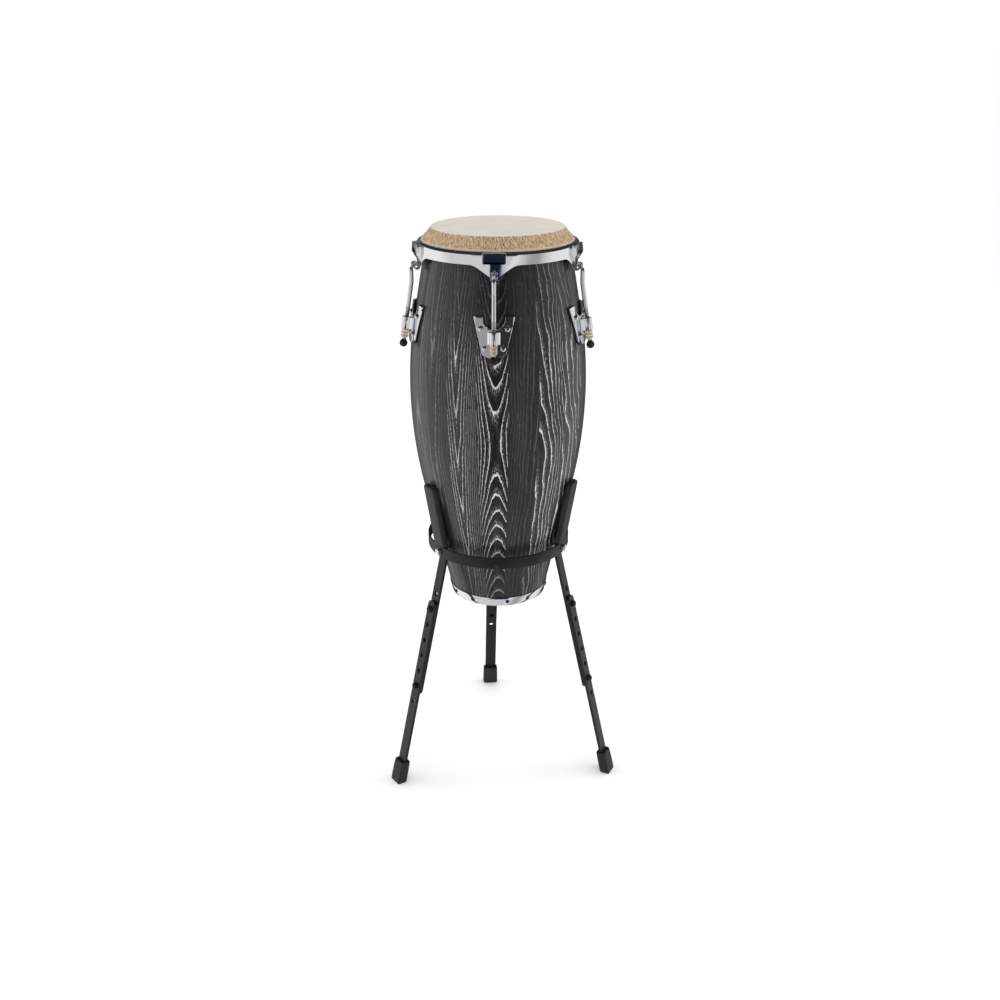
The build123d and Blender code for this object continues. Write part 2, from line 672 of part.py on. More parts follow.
with BuildPart() as foot:
    boot_low = top_hole + down_leg * (TOP_KNOB_Z / cos(radians(LEG_TILT)))
    boot_top = boot_low - down_leg * (FOOT_TOP_Z / cos(radians(LEG_TILT)))
    boot_shift = (BAR_GAP + BAR_THICK / 2) / cos(radians(LEG_TILT))
    with BuildSketch(tilted_plane(boot_top.X + boot_shift, boot_top.Z, LEG_TILT, along=True)):
        RectangleRounded(FOOT_DEPTH, FOOT_WIDTH, FOOT_ROUND)
    extrude(amount=-2 * FOOT_TOP_Z)
    split(bisect_by=Plane.XY, keep=Keep.TOP)
    add(lower_leg.part, mode=Mode.SUBTRACT)

with BuildPart() as knob:
    with BuildSketch(leg_plane(0, BAR_THICK + 2 * BAR_GAP)):
        Circle(KNOB_D / 2)
    extrude(amount=KNOB_HEIGHT)
    fillet(knob.edges().sort_by(Axis(top_hole, out_of_leg))[-1], KNOB_HEIGHT / 2)
    with BuildSketch(leg_plane(0, 2 * BAR_GAP)):
        Circle(KNOB_SHANK_D / 2)
    extrude(amount=BAR_THICK + BAR_GAP)

low_knob_shift = down_leg * ((OVERLAP_HOLES - 1) * HOLE_PITCH)

for i, angle in enumerate(LEG_ANGLES, start=1):
    save(arm.part, f"arm_{i}", angle)
    save(arm_pad.part, f"arm_pad_{i}", angle)
    save(upper_leg.part, f"upper_leg_{i}", angle)
    save(lower_leg.part, f"lower_leg_{i}", angle)
    save(foot.part, f"foot_{i}", angle)
    save(knob.part, f"leg_knob_{i}_top", angle)
    save(Pos(*low_knob_shift) * knob.part, f"leg_knob_{i}_low", angle)

# ---- Bolts through the ring, arms and legs ----------------------------------------------------------

stack_in_r = ARM_IN_R - BAR_THICK

with BuildPart() as ring_bolt:
    with BuildSketch(Plane(origin=(RING_R, 0, RING_BOLT_Z), z_dir=(1, 0, 0))):
        RegularPolygon(RING_BOLT_HEAD_R, 6)
    extrude(amount=RING_BOLT_HEAD)
    with BuildSketch(Plane(origin=(RING_R, 0, RING_BOLT_Z), z_dir=(1, 0, 0))):
        Circle(RING_BOLT_D / 2)
    extrude(amount=-(RING_R - stack_in_r + RING_NUT))

with BuildPart() as ring_nut:
    with BuildSketch(Plane(origin=(stack_in_r, 0, RING_BOLT_Z), z_dir=(-1, 0, 0))):
        RegularPolygon(RING_BOLT_HEAD_R, 6)
        Circle(RING_BOLT_D / 2, mode=Mode.SUBTRACT)
    extrude(amount=RING_NUT)

save(copies(ring_bolt.part, LEG_ANGLES), "ring_bolts")
save(copies(ring_nut.part, LEG_ANGLES), "ring_nuts")
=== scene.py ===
"""The look of a conga on its basket stand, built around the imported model.

Metres, +Z up, in the model's own frame: the drum's axis is the Z axis, the floor is z = 0 and the
front lug points along -Y. Angles about the axis are in degrees from +X, and so -90 is the front.
"""

from math import asin, atan2, cos, degrees, exp, hypot, log, pi, radians, sin, sqrt, tan

import bmesh
import bpy
from mathutils import Matrix, Vector


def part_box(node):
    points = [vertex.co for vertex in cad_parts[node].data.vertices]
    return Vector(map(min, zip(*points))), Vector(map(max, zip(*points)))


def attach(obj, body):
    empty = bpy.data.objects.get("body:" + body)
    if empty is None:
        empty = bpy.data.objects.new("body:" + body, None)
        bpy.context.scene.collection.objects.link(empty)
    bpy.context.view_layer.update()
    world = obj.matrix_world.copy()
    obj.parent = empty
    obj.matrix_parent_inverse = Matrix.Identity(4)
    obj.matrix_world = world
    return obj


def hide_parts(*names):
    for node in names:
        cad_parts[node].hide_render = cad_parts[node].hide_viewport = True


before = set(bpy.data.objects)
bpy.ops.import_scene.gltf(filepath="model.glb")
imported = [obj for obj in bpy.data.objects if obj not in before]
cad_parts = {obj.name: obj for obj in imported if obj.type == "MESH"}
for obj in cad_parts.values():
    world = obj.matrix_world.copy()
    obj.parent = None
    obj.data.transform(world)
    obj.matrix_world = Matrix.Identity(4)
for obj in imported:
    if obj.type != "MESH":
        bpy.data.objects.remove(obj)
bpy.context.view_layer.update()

# ---- Sizes taken from the model ------------------------------------------------------------------

MM = 0.001
LUGS = 5
LEGS = 3
LUG_ANGLES = [-90 + 360 / LUGS * i for i in range(LUGS)]

shell_low, shell_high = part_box("shell")
head_low, head_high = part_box("drum_head")
hoop_low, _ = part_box("counterhoop")


def angle_of(node):
    """The angle about the drum's axis at which a node stands."""
    low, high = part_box(node)
    centre = (low + high) / 2
    return degrees(atan2(centre.y, centre.x))


LEG_ANGLES = [angle_of(f"foot_{i + 1}") for i in range(LEGS)]

# The shell's outer wall: two arcs that meet at the belly, each running on into a straight cone
BELLY_R = shell_high.x
BELLY_Z = 858 * MM
UPPER_ARC_R = 860 * MM
UPPER_ARC_RISE = 150 * MM
LOWER_ARC_R = 957 * MM
LOWER_ARC_DROP = 215 * MM
WALL = 11 * MM
LUG_TILT = asin((996 * MM - BELLY_Z) / UPPER_ARC_R)
LEG_TILT = radians(13.55)


def wall_r(z):
    """The shell's outer radius at a height."""
    arc_r, reach = (UPPER_ARC_R, UPPER_ARC_RISE) if z > BELLY_Z else (LOWER_ARC_R, LOWER_ARC_DROP)
    rise = abs(z - BELLY_Z)
    on_arc = min(rise, reach)
    r = BELLY_R - arc_r + sqrt(arc_r**2 - on_arc**2)
    return r - (rise - on_arc) * tan(asin(reach / arc_r))


# ---- Shader nodes as arithmetic ------------------------------------------------------------------


class Wire:
    """A shader socket that adds, multiplies and compares like a number."""

    def __init__(self, tree, socket):
        self.tree = tree
        self.socket = socket

    def math(self, operation, *others, clamp=False):
        node = self.tree.nodes.new("ShaderNodeMath")
        node.operation = operation
        node.use_clamp = clamp
        for socket, value in zip(node.inputs, (self, *others)):
            plug(socket, value)
        return Wire(self.tree, node.outputs[0])

    def __add__(self, other):
        return self.math("ADD", other)

    def __sub__(self, other):
        return self.math("SUBTRACT", other)

    def __mul__(self, other):
        return self.math("MULTIPLY", other)

    def __truediv__(self, other):
        return self.math("DIVIDE", other)

    def __pow__(self, other):
        return self.math("POWER", other)

    def root(self):
        return self.math("SQRT")

    def size(self):
        return self.math("ABSOLUTE")

    def clamp(self):
        return self.math("MULTIPLY", 1, clamp=True)

    def invert(self):
        """One minus this."""
        return self * -1 + 1

    def step_up(self, start, end):
        """0 below start, 1 above end, smooth between."""
        node = self.tree.nodes.new("ShaderNodeMapRange")
        node.interpolation_type = "SMOOTHSTEP"
        plug(node.inputs["Value"], self)
        plug(node.inputs["From Min"], start)
        plug(node.inputs["From Max"], end)
        return Wire(self.tree, node.outputs["Result"])


def plug(socket, value):
    """Link a wire into a socket, or set the socket to a number, a colour or a vector."""
    if isinstance(value, Wire):
        value.tree.links.new(value.socket, socket)
    elif hasattr(socket.default_value, "__len__") and len(socket.default_value) == 4:
        socket.default_value = (*value, 1.0)
    else:
        socket.default_value = value


def window(value, start, end, soft):
    """1 where value lies between start and end, 0 outside, with soft edges."""
    return value.step_up(start - soft, start + soft) * value.step_up(end - soft, end + soft).invert()


def blend_colours(tree, factor, first, second):
    """A colour between two colours."""
    node = tree.nodes.new("ShaderNodeMix")
    node.data_type = "RGBA"
    plug(node.inputs[0], factor)
    plug(node.inputs[6], first)
    plug(node.inputs[7], second)
    return Wire(tree, node.outputs[2])


class Surface:
    """A Principled material, and short ways to build its nodes."""

    def __init__(self, name, **sockets):
        self.material = bpy.data.materials.new(name)
        self.material.use_nodes = True
        self.tree = self.material.node_tree
        self.shader = self.tree.nodes["Principled BSDF"]
        self.set(**sockets)

    def set(self, **sockets):
        """Set sockets of the shader, their names written with _ for a space."""
        for name, value in sockets.items():
            plug(self.shader.inputs[name.replace("_", " ")], value)

    def place(self):
        """X, Y and Z in the model's frame."""
        coordinates = self.tree.nodes.new("ShaderNodeTexCoord")
        split = self.tree.nodes.new("ShaderNodeSeparateXYZ")
        self.tree.links.new(coordinates.outputs["Object"], split.inputs[0])
        return [Wire(self.tree, out) for out in split.outputs]

    def vector(self, x, y, z):
        node = self.tree.nodes.new("ShaderNodeCombineXYZ")
        for socket, value in zip(node.inputs, (x, y, z)):
            plug(socket, value)
        return Wire(self.tree, node.outputs[0])

    def noise(self, vector, scale=1.0, detail=2.0, roughness=0.5, distortion=0.0):
        node = self.tree.nodes.new("ShaderNodeTexNoise")
        plug(node.inputs["Vector"], vector)
        node.inputs["Scale"].default_value = scale
        node.inputs["Detail"].default_value = detail
        node.inputs["Roughness"].default_value = roughness
        node.inputs["Distortion"].default_value = distortion
        return Wire(self.tree, node.outputs[0])

    def cells(self, vector, scale=1.0):
        """Distance to the nearest of many scattered points."""
        node = self.tree.nodes.new("ShaderNodeTexVoronoi")
        plug(node.inputs["Vector"], vector)
        node.inputs["Scale"].default_value = scale
        return Wire(self.tree, node.outputs["Distance"])

    def chance(self, number, seed):
        """A fixed random value from 0 to 1 for each whole number."""
        node = self.tree.nodes.new("ShaderNodeTexWhiteNoise")
        node.noise_dimensions = "2D"
        plug(node.inputs["Vector"], self.vector(number, seed, 0))
        return Wire(self.tree, node.outputs["Value"])

    def mix(self, factor, first, second):
        return blend_colours(self.tree, factor, first, second)

    def bump(self, height, distance, strength=1.0):
        """Raise the surface by height times distance, in metres, in its shading."""
        node = self.tree.nodes.new("ShaderNodeBump")
        node.inputs["Distance"].default_value = distance
        node.inputs["Strength"].default_value = strength
        plug(node.inputs["Height"], height)
        self.tree.links.new(node.outputs[0], self.shader.inputs["Normal"])

    def round(self):
        """Angle about the drum's axis from the front, in radians, and distance from the axis."""
        x, y, _ = self.place()
        return x.math("ARCTAN2", y * -1), (x * x + y * y).root()


# ---- Materials -----------------------------------------------------------------------------------

FILLER = (0.70, 0.685, 0.675)
STAIN_DARK = (0.0085, 0.0078, 0.0085)
STAIN_PALE = (0.021, 0.0185, 0.019)
JOINT_LINE = (0.004, 0.0035, 0.004)
RING_SPREAD = 0.031
STAVES = 18
STAVE_SHIFT = 0.56


def stained_oak():
    """Black-stained oak staves with silvery filler left in the open grain."""
    s = Surface("stained_oak", Specular_IOR_Level=0.34, Coat_Weight=0.28, Coat_Roughness=0.24)
    turn, radius = s.round()
    z = s.place()[2]
    position = turn * (STAVES / (2 * pi)) + STAVE_SHIFT
    stave = position.math("FLOOR")
    across = (position - stave - 0.5) * radius * (2 * pi / STAVES)
    chosen = {number: stave.math("COMPARE", number, 0.4) for number in (-1, 0, 1, 2, 3)}
    others = (chosen[-1] + chosen[0] + chosen[1] + chosen[2] + chosen[3]).invert()

    def pick(seed, low, high, *values):
        """A value for each stave: chance, but chosen for the five that face the viewer."""
        total = (s.chance(stave, seed) * (high - low) + low) * others
        for number, value in zip(chosen, values):
            total = total + chosen[number] * value
        return total

    middle = pick(1, -0.026, 0.026, -0.010, 0.007, 0.05, -0.046, -0.082)
    waist = pick(2, 0.35, 1.15, 0.40, 0.785, 1.3, 1.25, 1.25)
    rings = pick(3, 2.0, 6.0, 5.5, 3.0, 1.2, 1.0, 0.45)
    climb = pick(4, 1.0, 13.0, 10.0, 28.5, 3.0, 7.0, 7.0)
    wave = pick(5, 0.3, 1.0, 0.35, 0.34, 0.8, 1.1, 1.2)
    strength = pick(6, 0.08, 0.28, 0.75, 1.0, 0.10, 0.95, 0.80)
    upper = pick(7, 0.3, 1.0, 0.15, 0.10, 0.3, 0.25, 0.25)
    tone = pick(8, 0.85, 1.15, 1.0, 0.42, 0.75, 0.65, 1.0)
    hush = pick(9, 0.35, 0.65, 0.7, 0.6, 0.5, 0.7, 0.6)

    drift = s.noise(s.vector(stave * 7.3, across * 9, z * 4.2), detail=3.0) - 0.5
    wobble = s.noise(s.vector(stave * 3.1, across * 30, z * 14), detail=2.0) - 0.5
    offset = across - middle + drift * wave * 0.05 + wobble * wave * 0.011
    rise = z - waist
    past_waist = (rise * rise + 0.0081).root() - 0.09
    below = rise.step_up(-0.03, 0.03).invert() * 0.15 + 1
    sideways = (offset.size() * (1 / RING_SPREAD)) ** (chosen[-1] * -0.6 + 2)
    ripple = s.noise(s.vector(stave * 5.7, across * 120, z * 26), detail=2.0) - 0.5
    field = sideways * rings - past_waist * climb * below + ripple * 0.34 + 40.7
    phase = field.math("FRACT")

    line = phase.step_up(0.0, 0.03) * phase.step_up(0.08, 0.19).invert()
    pore_band = phase.step_up(0.12, 0.62).invert() * phase.step_up(0.0, 0.05)
    along = s.noise(s.vector(across * 620, stave, z * 170), detail=2.0, roughness=0.6)
    calm = (sideways * rings).step_up(2.2, 4.0).invert()
    pores = along.step_up(0.50, 0.60) * pore_band * calm
    gaps = s.noise(s.vector(across * 420, stave, z * 75), detail=2.0).step_up(0.36, 0.50)
    threads = s.noise(s.vector(across * 520, stave, z * 4.5), detail=3.0, roughness=0.6)
    flecks = s.noise(s.vector(across * 700, stave + 9, z * 60), detail=1.0).step_up(0.66, 0.74)
    patches = s.noise(s.vector(stave * 2.1, across * 26, z * 5), detail=3.0).step_up(0.30, 0.60)
    height = upper + upper.invert() * z.step_up(0.92, 1.06).invert()
    foot = z.step_up(0.46, 0.54) * 0.65 + 0.35
    grain = (line * (gaps * 0.7 + 0.3) + pores * 0.55) * strength * (patches * 0.40 + 0.60) * foot
    quiet = (threads.step_up(0.52, 0.76) * 0.13 + flecks * patches * 0.26) * hush
    filler = (grain * height + quiet).clamp()

    tint = s.noise(s.vector(stave * 4.4, across * 45, z * 7), detail=4.0)
    fibres = s.noise(s.vector(across * 1500, stave, z * 18), detail=3.0, roughness=0.7)
    stain = s.mix(tint, STAIN_DARK, STAIN_PALE)
    dark = s.mix(tone, (0.0, 0.0, 0.0), stain)
    seam = ((position - stave - 0.5).size() * -2 + 1).step_up(0.0, 0.016).invert()
    colour = s.mix(filler * 0.96, dark, FILLER)
    s.set(Base_Color=s.mix(seam * 0.8, colour, JOINT_LINE))
    s.set(Roughness=fibres * 0.14 + filler * 0.22 + 0.32)
    s.bump(fibres * 0.3 - filler * 0.8 - seam, 0.12 * MM, 0.5)
    return s.material


def bare_oak():
    """The unlacquered inside of the shell."""
    s = Surface("bare_oak", Specular_IOR_Level=0.3)
    turn, radius = s.round()
    z = s.place()[2]
    grain = s.noise(s.vector(turn * radius * 260, 0, z * 7), detail=4.0, roughness=0.65)
    pores = s.noise(s.vector(turn * radius * 1400, 1, z * 60), detail=2.0).step_up(0.60, 0.72)
    wood = s.mix(grain, (0.17, 0.095, 0.048), (0.40, 0.26, 0.15))
    s.set(Base_Color=s.mix(pores * 0.6, wood, (0.07, 0.035, 0.018)), Roughness=grain * 0.2 + 0.6)
    s.bump(grain - pores, 0.2 * MM, 0.6)
    return s.material


def polished(name, colour, rough, wear):
    """Plated metal: faint polishing scratches, smudges and a slightly wavy skin."""
    s = Surface(name, Metallic=1.0)
    x, y, z = s.place()
    smudge = s.noise(s.vector(x, y, z), scale=38, detail=4.0, roughness=0.6)
    scratch = s.noise(s.vector(x * 900, y * 900, z * 2600), detail=2.0)
    swell = s.noise(s.vector(x, y, z), scale=55, detail=1.0)
    dull = tuple(c * 0.82 for c in colour)
    s.set(Base_Color=s.mix(smudge.step_up(0.55, 0.85) * wear, colour, dull))
    s.set(Roughness=smudge.step_up(0.35, 0.8) * 0.10 * wear + scratch * 0.04 + rough)
    s.bump(swell * 3 + scratch * 0.05, 0.06 * MM, 0.5)
    return s.material


def turned_nickel():
    """Warm nickel, turned on a lathe, with fine tool rings."""
    s = Surface("turned_nickel", Metallic=1.0)
    x, y, z = s.place()
    rings = s.noise(s.vector(x * 60, y * 60, z * 5200), detail=1.0)
    stain = s.noise(s.vector(x, y, z), scale=160, detail=3.0)
    s.set(Base_Color=s.mix(stain, (0.80, 0.72, 0.60), (0.64, 0.54, 0.42)))
    s.set(Roughness=rings * 0.14 + stain * 0.12 + 0.12)
    s.bump(rings, 0.03 * MM, 0.5)
    return s.material


def powder_coat():
    """Satin black powder coat over steel, fine orange peel, paler where edges have rubbed."""
    s = Surface("powder_coat", Specular_IOR_Level=0.4)
    x, y, z = s.place()
    peel = s.noise(s.vector(x, y, z), scale=900, detail=2.0)
    dust = s.noise(s.vector(x, y, z), scale=26, detail=5.0, roughness=0.6)
    geometry = s.tree.nodes.new("ShaderNodeNewGeometry")
    edge = Wire(s.tree, geometry.outputs["Pointiness"]).step_up(0.53, 0.60)
    rubbed = edge * s.noise(s.vector(x, y, z), scale=140, detail=3.0).step_up(0.45, 0.65)
    coat = s.mix(dust, (0.003, 0.0029, 0.0034), (0.009, 0.0085, 0.0083))
    s.set(Base_Color=s.mix(rubbed * 0.5, coat, (0.075, 0.07, 0.068)))
    s.set(Roughness=peel * 0.12 + dust * 0.14 + 0.30)
    s.bump(peel, 0.05 * MM, 0.6)
    return s.material


def rubber(name, colour, rough, grain):
    """Moulded rubber with a fine pebbled skin and a bloom of dust."""
    s = Surface(name, Specular_IOR_Level=0.36)
    x, y, z = s.place()
    pebble = s.cells(s.vector(x, y, z), scale=grain)
    bloom = s.noise(s.vector(x, y, z), scale=34, detail=5.0, roughness=0.65)
    scuff = s.noise(s.vector(x * 60, y * 60, z * 400), detail=3.0).step_up(0.58, 0.75)
    pale = tuple(c * 2.1 + 0.006 for c in colour)
    base = s.mix(bloom.step_up(0.40, 0.75), colour, pale)
    s.set(Base_Color=s.mix(scuff * 0.35, base, tuple(c * 3.0 + 0.01 for c in colour)))
    s.set(Roughness=bloom * 0.22 + rough)
    s.bump(pebble, 0.10 * MM, 0.5)
    return s.material


def drum_skin():
    """Hide: a cream playing face, a tan collar full of upright fibres and a pale turned edge."""
    s = Surface("drum_skin", Specular_IOR_Level=0.35, Sheen_Weight=0.08, Subsurface_Weight=0.05)
    s.set(Subsurface_Radius=(0.004, 0.002, 0.001))
    x, y, z = s.place()
    turn, radius = s.round()
    fibre = s.noise(s.vector(turn * 62, 0, z * 95), detail=3.0, roughness=0.7)
    fleck = s.noise(s.vector(turn * 95, 3, z * 150), detail=2.0, roughness=0.6)
    blotch = s.noise(s.vector(turn * 9, 5, z * 24), detail=3.0)
    tan_low = s.mix(blotch, (0.235, 0.125, 0.052), (0.34, 0.20, 0.092))
    collar = s.mix(fibre.step_up(0.40, 0.60), tan_low, (0.54, 0.385, 0.235))
    collar = s.mix(fleck.step_up(0.54, 0.62) * 0.85, collar, (0.150, 0.075, 0.032))
    collar = s.mix(fleck.step_up(0.36, 0.46).invert() * 0.8, collar, (0.70, 0.57, 0.40))
    grain = s.noise(s.vector(x * 14, y * 70, 0), detail=4.0, roughness=0.6)
    veins = s.noise(s.vector(x, y, 2), scale=15, detail=4.0, roughness=0.6, distortion=0.8)
    top = s.mix(grain.step_up(0.30, 0.70), (0.575, 0.53, 0.465), (0.65, 0.61, 0.555))
    top = s.mix(veins.step_up(0.48, 0.66) * 0.20, top, (0.50, 0.445, 0.38))
    ragged = (fibre - 0.5) * 2.2 * MM
    over_edge = (z + ragged).step_up(HEAD_TOP - 1.9 * MM, HEAD_TOP - 0.8 * MM)
    lip = (z * -1 + ragged).step_up(-LIP_Z, -LIP_Z + 1.4 * MM)
    hide = s.mix(over_edge, collar, top)
    s.set(Base_Color=s.mix(lip * 0.9, hide, (0.50, 0.455, 0.405)))
    s.set(Roughness=fibre * 0.2 + 0.45)
    s.bump(fibre * over_edge.invert() + fleck * 0.5 * over_edge.invert() + grain * 0.2, 0.35 * MM, 0.6)
    return s.material


def pale_floor():
    """A matt pale floor with the faintest mottling, which whitens into the distance."""
    s = Surface("pale_floor", Roughness=1.0, Specular_IOR_Level=0.0)
    x, y, _ = s.place()
    cloud = s.noise(s.vector(x, y, 0), scale=1.6, detail=3.0)
    near = s.mix(cloud, (0.92, 0.92, 0.92), (0.95, 0.95, 0.95))
    far = (x * x + y * y).root().step_up(0.4, 3.0)
    s.set(Base_Color=s.mix(far, near, (1.0, 1.0, 1.0)))
    return s.material


HEAD_TOP = head_high.z
LIP_Z = 1155.2 * MM

OAK = stained_oak()
BARE_OAK = bare_oak()
SKIN = drum_skin()
CHROME = polished("chrome", (0.80, 0.81, 0.83), 0.04, 0.6)
NICKEL = turned_nickel()
# Painted shade: a darker copy of the chrome, for the hook seats that sit in the shadow under the ears
SHADED_CHROME = polished("shaded_chrome", (0.26, 0.27, 0.30), 0.10, 0.8)
ZINC = polished("zinc_plate", (0.66, 0.66, 0.65), 0.24, 1.0)
BRIGHT_BOLT = polished("nickel_bolt", (0.82, 0.76, 0.68), 0.14, 1.0)
COAT = powder_coat()
GASKET_RUBBER = rubber("gasket_rubber", (0.005, 0.005, 0.005), 0.44, 1500)
PAD_RUBBER = rubber("pad_rubber", (0.0125, 0.0118, 0.0112), 0.36, 1400)
FOOT_RUBBER = rubber("foot_rubber", (0.0125, 0.012, 0.0115), 0.46, 1100)
KNOB_PLASTIC = rubber("knob_plastic", (0.006, 0.006, 0.006), 0.28, 2500)

# ---- Meshes --------------------------------------------------------------------------------------


def piece(name, body, material, vertices, faces, replaces=(), soft_edge=35):
    """A named mesh of the object, riding on a body."""
    mesh = bpy.data.meshes.new(name)
    mesh.from_pydata([tuple(v) for v in vertices], [], faces)
    mesh.validate()
    shape = bmesh.new()
    shape.from_mesh(mesh)
    bmesh.ops.recalc_face_normals(shape, faces=shape.faces)
    shape.to_mesh(mesh)
    shape.free()
    obj = bpy.data.objects.new(name, mesh)
    bpy.context.scene.collection.objects.link(obj)
    for each in material if isinstance(material, tuple) else (material,):
        mesh.materials.append(each)
    mesh.shade_smooth()
    mesh.set_sharp_from_angle(angle=radians(soft_edge))
    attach(obj, body)
    if replaces:
        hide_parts(*replaces)
    return obj


class Solid:
    """Vertices and faces gathered from several closed shapes."""

    def __init__(self):
        self.vertices = []
        self.faces = []

    def add(self, vertices, faces, place=Matrix()):
        start = len(self.vertices)
        self.vertices += [place @ Vector(v) for v in vertices]
        self.faces += [[start + i for i in face] for face in faces]

    def rings(self, rows, place=Matrix(), closed=False):
        """Skin a list of equal rings of points; closed joins the last ring to the first."""
        count = len(rows[0])
        faces = []
        for row in range(len(rows) if closed else len(rows) - 1):
            following = (row + 1) % len(rows)
            for i in range(count):
                j = (i + 1) % count
                here, there = row * count, following * count
                faces.append([here + i, here + j, there + j, there + i])
        if not closed:
            faces.append(list(range(count))[::-1])
            faces.append([(len(rows) - 1) * count + i for i in range(count)])
        self.add([v for row in rows for v in row], faces, place)

    def lathe(self, profile, segments, place=Matrix(), closed=False):
        """Turn (r, z) points about Z. An open profile is capped flat at both ends."""
        steps = [2 * pi * i / segments for i in range(segments)]
        rows = [[(r * cos(a), r * sin(a), z) for a in steps] for r, z in profile]
        self.rings(rows, place, closed)


def arc(centre, radius, start, end, count):
    """Points on a circle from one angle to another, in degrees."""
    angles = [radians(start + (end - start) * i / count) for i in range(count + 1)]
    return [(centre[0] + radius * cos(a), centre[1] + radius * sin(a)) for a in angles]


def spin(degree):
    """A turn about the drum's axis."""
    return Matrix.Rotation(radians(degree), 4, "Z")


def facing(r, z, tilt, turn=0.0):
    """On the +X side at (r, z), with local Z pointing away from the drum and up by tilt."""
    outward = Matrix.Rotation(pi / 2 - tilt, 4, "Y")
    return spin(turn) @ Matrix.Translation((r, 0, z)) @ outward


def slanted(r, z, tilt, turn=0.0):
    """On the +X side at (r, z), with local Z up along a rod that leans inwards by tilt."""
    return spin(turn) @ Matrix.Translation((r, 0, z)) @ Matrix.Rotation(-tilt, 4, "Y")


def tidy_node(node, material, bevel=0.0):
    """A model node kept as it is, with a finer finish: joined seams, softened edges, a material."""
    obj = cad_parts[node]
    obj.data.materials.clear()
    obj.data.materials.append(material)
    weld = obj.modifiers.new("weld", "WELD")
    weld.merge_threshold = 0.01 * MM
    if bevel:
        soften = obj.modifiers.new("soften", "BEVEL")
        soften.width = bevel
        soften.segments = 3
        soften.limit_method = "ANGLE"
        soften.angle_limit = radians(40)
        soften.harden_normals = True


# ---- Shell ---------------------------------------------------------------------------------------


def make_shell():
    """The staved shell: lacquered outside, bare inside, with a rounded bearing edge on top."""
    rise = 6 * MM
    edge_in, edge_drop = 8.5 * MM, 13 * MM
    bottom, top = shell_low.z, shell_high.z
    steps = int((top - edge_drop - bottom) / rise)
    heights = [bottom + (top - edge_drop - bottom) * i / steps for i in range(steps + 1)]
    outside = [(wall_r(z), z) for z in heights]
    rim = wall_r(top)
    bearing = [(rim - edge_in * 0.55, top - edge_drop * 0.35), (rim - edge_in, top), (rim - WALL, top)]
    inside = [(wall_r(z) - WALL, z) for z in reversed(heights)]
    solid = Solid()
    solid.lathe(outside + bearing + inside, 360, closed=True)
    obj = piece("staved_shell", "drum", (OAK, BARE_OAK), solid.vertices, solid.faces,
                replaces=["shell"])
    for face in obj.data.polygons:
        outward = Vector((face.center.x, face.center.y, 0)).dot(face.normal)
        face.material_index = 0 if outward > 0 else 1


# ---- Head ----------------------------------------------------------------------------------------

EDGE_R = 129 * MM
COLLAR_R = head_high.x


def make_head():
    """One hide: a flat face, a firm rounded edge and a slightly hollow collar with a turned lip."""
    edge_round = 4.2 * MM
    face = [(EDGE_R * f, HEAD_TOP - 0.35 * MM * (1 - f)) for f in (0.02, 0.2, 0.4, 0.6, 0.8, 0.93)]
    shoulder = arc((EDGE_R - 1.2 * MM, HEAD_TOP - edge_round), edge_round, 90, 32, 7)
    start = Vector(shoulder[-1])
    end = Vector((COLLAR_R - 0.7 * MM, 1153.4 * MM))
    count = 14
    slope = []
    for i in range(1, count + 1):
        t = i / count
        sag = -1.1 * MM * sin(pi * t) * (1 - t)
        point = start.lerp(end, t)
        slope.append((point.x + sag, point.y + sag * 0.6))
    lip = arc((COLLAR_R - 1.6 * MM, 1151.4 * MM), 1.6 * MM, 35, -60, 5)
    tuck = [(COLLAR_R - 1.4 * MM, 1147.2 * MM), (COLLAR_R - 2.2 * MM, head_low.z + 0.3 * MM)]
    outer = face + shoulder + slope + lip + tuck
    skin = 1.2 * MM
    inner = [(r - skin * 0.9, z - skin * 0.75) for r, z in outer[len(face):]][::-1]
    inner += [(r, z - skin) for r, z in reversed(face)]
    inner[0] = (outer[-1][0] - skin, outer[-1][1])
    segments = 420
    solid = Solid()
    rows = []
    for r, z in outer + inner:
        row = []
        for i in range(segments):
            a = 2 * pi * i / segments
            pucker = collar_pucker(r, z, a)
            row.append(((r + pucker) * cos(a), (r + pucker) * sin(a), z))
        rows.append(row)
    solid.rings(rows)
    piece("hide_head", "drum", SKIN, solid.vertices, solid.faces,
          replaces=["drum_head"], soft_edge=60)


def collar_pucker(r, z, a):
    """How far the hide stands out of round at a point: small uneven upright folds in the collar."""
    depth = max(0.0, min(1.0, (HEAD_TOP - 3 * MM - z) / (20 * MM)))
    folds = sin(a * 31 + 1.3 * sin(a * 5)) + 0.7 * sin(a * 53 + 2.1 * sin(a * 3 + 1))
    folds += 0.4 * sin(a * 97)
    return folds * depth * 0.10 * MM if r > EDGE_R - 2 * MM else 0.0


# ---- Counterhoop ---------------------------------------------------------------------------------

HOOP_R = 159 * MM
HOOP_WALL = 3 * MM
BAND_LOW_Z = 1127.5 * MM
HOOP_TOP_Z = 1151.5 * MM
GUSSET_TIP_Z = hoop_low.z + 5.9 * MM
GUSSET_HALF_TIP = 7.5 * MM
GUSSET_SLOPE = 0.70
GUSSET_BLEND = 2.6 * MM


def band_low(turn):
    """The hoop band's lower edge at an angle: level, but drawn down to a point under each lug."""
    nearest = min(abs((turn - lug + 180) % 360 - 180) for lug in LUG_ANGLES)
    along = radians(nearest) * HOOP_R
    line = GUSSET_TIP_Z + max(0.0, along - GUSSET_HALF_TIP) * GUSSET_SLOPE
    if line > BAND_LOW_Z + 8 * GUSSET_BLEND:
        return BAND_LOW_Z
    soft = exp(-(line - BAND_LOW_Z) / GUSSET_BLEND) + 1
    return max(GUSSET_TIP_Z, BAND_LOW_Z - GUSSET_BLEND * log(soft))


